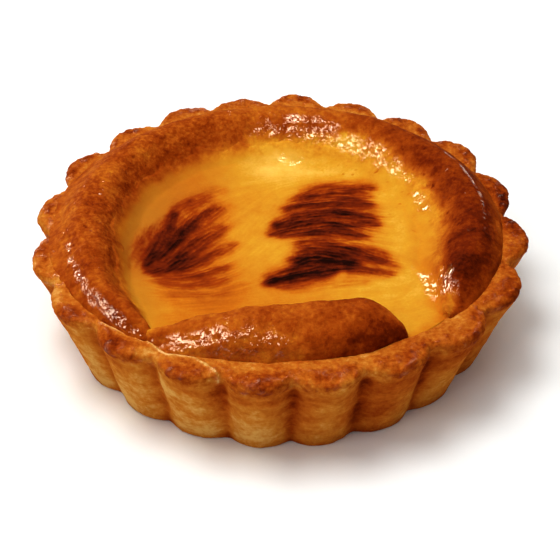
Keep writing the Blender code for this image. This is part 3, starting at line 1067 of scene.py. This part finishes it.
def make_crust():
    grid, azimuth, bulge, share, ledge, shown = crust_grid()
    upper = smooth((share - 0.88) / 0.1)
    wall = shown * (1.0 - smooth(ledge * 8.0)) * (1.0 - upper)
    top = shown - wall
    full = clamp(bulge)
    relief = 0.22 * noise(grid, 7.0, 61) * shown
    relief += 0.10 * rough(grid, 2.4, 62) * shown
    relief += 0.04 * rough(grid, 0.8, 63, 2, (5.0, 5.0, 1.0)) * wall
    crown = upper * (1.0 - smooth((ledge - 0.2) / 0.5)) * shown
    crumbs = rough(grid, 1.7, 64)
    relief += crumbs * (0.20 * crown + 0.08 * top)
    line = (by_azimuth(BEAD, azimuth) + 0.15 * noise(grid, 3.0, 68)) * MM
    bead = bell((np.hypot(grid[..., 0], grid[..., 1]) - line) / BEAD_WIDTH) * top
    bead *= smooth((18.0 - np.abs(turned_off(azimuth, 240.0))) / 2.0)
    # a thin ridge by each groove on the flutes' left edges, raised in relief and painted paler as a
    # highlight
    ridge_and_highlight = (np.gradient(bulge) > 0.0) * bell((full - 0.30) / 0.16) * wall
    ridge_and_highlight *= bell(turned_off(azimuth, 248.0) / 14.0) * smooth((share - 0.3) / 0.4)
    relief += BEAD_HEIGHT * bead + 0.12 * ridge_and_highlight
    grid = lift(grid, relief)
    grid[..., 2] = np.maximum(grid[..., 2], 0.0)
    bake = 0.245 + 0.10 * noise(grid, 9.0, 65)
    bake += 0.14 * rough(grid, 2.5, 66, 3, (1.7, 1.7, 1.0))
    glazed = smooth(0.72 + 0.8 * noise(grid, 4.5, 67))
    # a browner band just under the rim's lip: partly painted shade under its overhang
    bake += 0.11 * bell((share - 0.80) / 0.08) * wall
    bake += 0.38 * crown * mix(0.3, 1.0, full) * glazed
    # paler along the bead: painted highlight on its wet glaze
    bake += 0.08 * crumbs * crown + 0.07 * top * smooth(ledge * 3.0) - 0.38 * bead
    # darker deep in the grooves between flutes: painted shade; paler low down on the wall
    bake += 0.33 * (1.0 - full) ** 3 * wall - 0.08 * smooth((0.4 - share) / 0.3) * wall
    # darker at the wall's foot; paler along the lit ridges: painted highlight
    bake += 0.14 * bell(share / 0.05) * wall - 0.22 * ridge_and_highlight
    # painted light and shade on the wall, from the table above
    low, high = (by_azimuth(WALL_LIGHT_AND_SHADE, azimuth, row) for row in (1, 2))
    bake += mix(low, high, smooth((share - 0.35) / 0.3)) * wall
    for centre, reach, amount in RIM_TONES:
        bake += amount * bell(turned_off(azimuth, centre) / reach) * top
    # painted shade: browner walls at the front right
    bake += 0.06 * bell(turned_off(azimuth, 322.0) / 28.0) * wall
    bake -= 0.14 * bell(turned_off(azimuth, 316.0) / 8.0) * smooth(1.8 * ledge - 0.4) * top
    gloss = 0.7 * crown * smooth(crumbs) * glazed + bead
    # bake holds the browning, and on the case also painted light and shade and the painted highlights of
    # the bead and ridges
    fields = {"bake": bake, "gloss": clamp(gloss), "crumb": top * 0.8}
    skin("crust", grid, fields, shortcrust(), "pastry_case")


# by azimuth, how many mm the filling browned inwards from the ledge in the gap, and how much
GAP_BROWNING = (
    (-57.0, -51.0, -46.0, -42.0, -38.0),
    (1.2, 2.6, 4.5, 4.0, 1.0),
    (0.10, 0.10, 0.08, 0.12, 0.0),
)
# by azimuth, how far in from the collar's foot, as a climb, the filling takes the foot's colour; the
# wide reach at the left spreads its painted shade
FOOT_REACH = ((60.0, 110.0, 200.0, 220.0), (0.6, 1.6, 1.6, 0.8))
# by azimuth, how strongly the filling is painted darker and olive by the collar's foot: painted shade of
# the collar
PAINTED_SHADE_AT_FOOT = ((90.0, 118.0, 140.0, 165.0, 190.0, 222.0, 234.0), (0.0, 0.3, 0.5, 0.8, 0.8, 0.5, 0.0))
# the collar's browning, and that of the filling's thin film over it
FILM_BAKE = ((0.0, 0.15, 0.3, 0.45, 0.6, 1.0), (0.08, 0.17, 0.27, 0.34, 0.45, 0.8))
# how far a stroke darkened the filling, and how far that browned it
CHAR_BAKE = ((0.0, 0.25, 0.5, 0.75, 1.0), (0.0, 0.24, 0.48, 0.72, 0.98))
# where dark specks and dry crumbs are, given as the wet spots are
FILLING_SPECKS = ((52.0, 0.15, 12.0, 0.35, 1.0), (16.0, 0.0, 16.0, 0.4, 0.7))
COLLAR_SPECKS = ((20.0, 0.5, 45.0, 0.5, 1.0), (200.0, 0.9, 20.0, 0.5, 0.7))
COLLAR_CRUMBS = ((135.0, 0.9, 40.0, 0.4, 1.0), (190.0, 1.2, 30.0, 0.8, 0.6))


def make_filling(chart):
    grid, climb, melt, azimuth = filling_grid()
    charted = chart.fibres, chart.hairs, chart.dashes, chart.char
    fibres, hairs, dashes, char = (chart.read(field, grid) for field in charted)
    blotches = rough(grid, 3.0, 87)
    shading = np.maximum(0.0, 1.0 + 0.28 * fibres + 0.18 * hairs + 0.18 * dashes + 0.20 * blotches)
    char = clamp(char * mix(shading, 1.0, 0.45 * char))
    base = 0.165 + 0.035 * noise(grid, 9.0, 71) + 0.015 * fibres + 0.01 * hairs
    for x, y, reach, amount in FILLING_TINTS:
        away = np.hypot(grid[..., 0] / MM - x, grid[..., 1] / MM - y)
        base += amount * bell(away / reach)
    # the colour at the collar's foot, at the left partly painted shade, spreads inwards over the filling
    inwards = by_azimuth(FOOT_REACH, azimuth)
    base = mix(base, by_azimuth(FOOT_BAKE_AND_SHADE, azimuth), smooth(1.0 + climb / inwards))
    browned = np.interp(collar_bake(azimuth, np.maximum(climb, 0.0), grid), *FILM_BAKE)
    base = mix(base, browned, smooth((climb + 0.25) / 0.5))
    out = np.hypot(grid[..., 0], grid[..., 1]) - seam_radius(azimuth)
    reach, amount = (by_azimuth(GAP_BROWNING, azimuth, row) for row in (1, 2))
    base += amount * smooth(1.0 + out / (reach * MM))
    specks = smooth((rough(grid, 1.3, 86, 2) - 0.45) / 0.3)
    base += 0.30 * specks * patches(azimuth, climb, FILLING_SPECKS)
    # painted shade of the collar on the filling at its left, kept off the browned strokes
    painted_shade = by_azimuth(PAINTED_SHADE_AT_FOOT, azimuth) * (1.0 - smooth(char * 2.5))
    painted_shade *= smooth(1.0 + climb / (1.4 * inwards)) * (1.0 - smooth((climb - 0.05) / 0.4))
    bake = mix(base, 1.0, np.interp(char, *CHAR_BAKE))
    wet = collar_wetness(azimuth, climb, grid)
    relief = 0.14 * noise(grid, 7.0, 72) + 0.03 * fibres
    relief += (0.10 * fibres + 0.05 * hairs) * smooth(char / 0.4)
    relief += 0.14 * rough(grid, 2.4, 83) * wet
    grid = lift(grid, np.where(climb > HIDDEN_CLIMB, relief, 0.0))
    fields = {"bake": bake, "gloss": wet, "painted_shade": painted_shade, "melt": melt, "lumpy": lumpiness(azimuth)}
    fields["pastry_bake"] = collar_bake(azimuth, np.maximum(climb, 0.0), grid)
    skin("filling", grid, fields, peach(), "peach_filling")


def make_collar():
    grid, azimuth, climb = collar_grid()
    azimuth = np.broadcast_to(azimuth[:, None], climb.shape)
    gloss = collar_wetness(azimuth, climb, grid)
    foot = smooth(climb / 0.3)
    relief = 0.30 * noise(grid, 8.0, 81) * foot
    relief += 0.17 * rough(grid, 3.0, 82, 4) * mix(0.3, 1.0, foot)
    relief += 0.16 * rough(grid, 2.4, 83) * gloss
    specks = smooth((rough(grid, 1.3, 86, 2) - 0.55) / 0.3)
    bake = collar_bake(azimuth, climb, grid)
    bake += 0.30 * specks * patches(azimuth, climb, COLLAR_SPECKS)
    crumb = clamp(0.2 + patches(azimuth, climb, COLLAR_CRUMBS))
    grid = lift(grid, relief)
    fields = {"bake": bake, "gloss": gloss, "crumb": crumb, "lumpy": lumpiness(azimuth)}
    skin("collar", grid, fields, glazed_pastry("glazed_puff"), "puffed_collar")


def make_puff():
    grid, share, climb = puff_grid()
    share = np.broadcast_to(share[:, None], climb.shape)
    gloss = 1.22 * bell((share - 0.30) / 0.24) * bell((climb - 1.5) / 0.40)
    gloss = smooth((gloss * (1.0 + 0.8 * noise(grid, 3.5, 94)) - 0.25) / 0.35)
    relief = 0.40 * noise(grid, 6.0, 91)
    relief += 0.16 * rough(grid, 2.6, 92, 4)
    relief += 0.16 * rough(grid, 2.4, 95) * gloss
    browner = smooth((share - 0.55) / 0.35)
    bake = 0.50 + 0.08 * rough(grid, 4.0, 93, 2)
    bake += mix(0.07, 0.31, smooth((climb - 0.9) / 0.5)) * browner
    bake -= 0.05 * bell((climb - 0.6) / 0.35)
    bake -= 0.16 * bell(share / 0.26) * (1.0 - smooth((climb - 0.3) / 0.9))
    bake -= 0.08 * smooth((climb - 1.5) / 0.4) * (1.0 - browner)
    grid = lift(grid, relief)
    fields = {"bake": bake, "gloss": gloss, "crumb": 0.4, "lumpy": 0.4}
    skin("puff", grid, fields, glazed_pastry("glazed_fold"), "front_puff")


# ---- the studio


CAMERA_PLACE = (0.0, -0.2223, 0.17787)
CAMERA_TILT = 52.188  # degrees from looking straight down
LENS = 84.48
SENSOR = 36.0


def make_camera():
    camera = bpy.data.cameras.new("camera")
    camera.lens = LENS
    camera.sensor_width = SENSOR
    camera.clip_start = 0.01
    holder = add_object("camera", camera)
    holder.location = CAMERA_PLACE
    holder.rotation_euler = Euler((math.radians(CAMERA_TILT), 0.0, 0.0))
    bpy.context.scene.camera = holder


FLOOR_REACH = 3.0
FLOOR_COLOUR = (0.965, 0.985, 0.975, 1.0)


def make_floor():
    mesh = bpy.data.meshes.new("floor")
    corners = [(x, y, 0.0) for x, y in product((-FLOOR_REACH, FLOOR_REACH), repeat=2)]
    mesh.from_pydata(corners, [], [(0, 2, 3, 1)])
    nodes = Nodes("pale_floor")
    mesh.materials.append(nodes.set(base_color=FLOOR_COLOUR, roughness=0.9, specular_ior_level=0.1))
    floor = add_object("floor", mesh)


GLINT_COLOUR = (1.0, 0.84, 0.66)


def softbox(name, azimuth, elevation, distance, size, power, mirrored=False):
    """A square light turned to the tart, which only mirrors it, or is only lit by it."""
    light = bpy.data.lights.new(name, "AREA")
    light.size = size
    light.energy = power
    light.color = GLINT_COLOUR if mirrored else (1.0, 1.0, 1.0)
    holder = add_object(name, light)
    holder.visible_glossy = mirrored
    holder.visible_diffuse = not mirrored
    place = Vector(polar(distance * cos_deg(elevation), azimuth, distance * sin_deg(elevation)).tolist())
    holder.location = place
    holder.rotation_euler = (-place).to_track_quat("-Z", "Y").to_euler()


WORLD_STRENGTH = 0.35
VIEW_GAMMA = 0.8
# each light's name, azimuth, elevation, distance, size and power
LAMPS = (
    ("key", 174.0, 71.0, 0.6, 0.28, 2.0),
    ("top", 90.0, 84.0, 0.6, 0.45, 1.1),
    ("fill", 226.0, 42.0, 0.7, 0.35, 0.75),
)
MIRRORED_LAMPS = (
    ("glint", 194.0, 62.0, 0.6, 0.20, 1.9),
    ("glint_top", 90.0, 70.0, 0.6, 0.15, 1.4),
    ("glint_front", 262.0, 72.0, 0.6, 0.12, 0.5),
    ("window_left", 180.0, 24.0, 0.6, 0.26, 2.2),
    ("glint_right", 152.0, 46.0, 0.6, 0.10, 0.4),
    ("window_back", 130.0, 14.0, 0.6, 0.28, 4.2),
    ("window_right", 60.0, 14.0, 0.6, 0.24, 0.5),
    ("window_far", 88.0, 31.0, 0.6, 0.22, 1.9),
)


def make_studio():
    scene = bpy.context.scene
    scene.view_settings.view_transform = "Standard"
    scene.view_settings.gamma = VIEW_GAMMA
    world = bpy.data.worlds.new("studio")
    world.use_nodes = True
    background = world.node_tree.nodes["Background"].inputs
    background["Color"].default_value = (1.0, 1.0, 1.0, 1.0)
    background["Strength"].default_value = WORLD_STRENGTH
    world.cycles_visibility.glossy = False
    scene.world = world
    for lamp in LAMPS:
        softbox(*lamp)
    for lamp in MIRRORED_LAMPS:
        softbox(*lamp, mirrored=True)


make_camera()
make_floor()
make_studio()
make_crust()
make_filling(Chart())
make_collar()
make_puff()
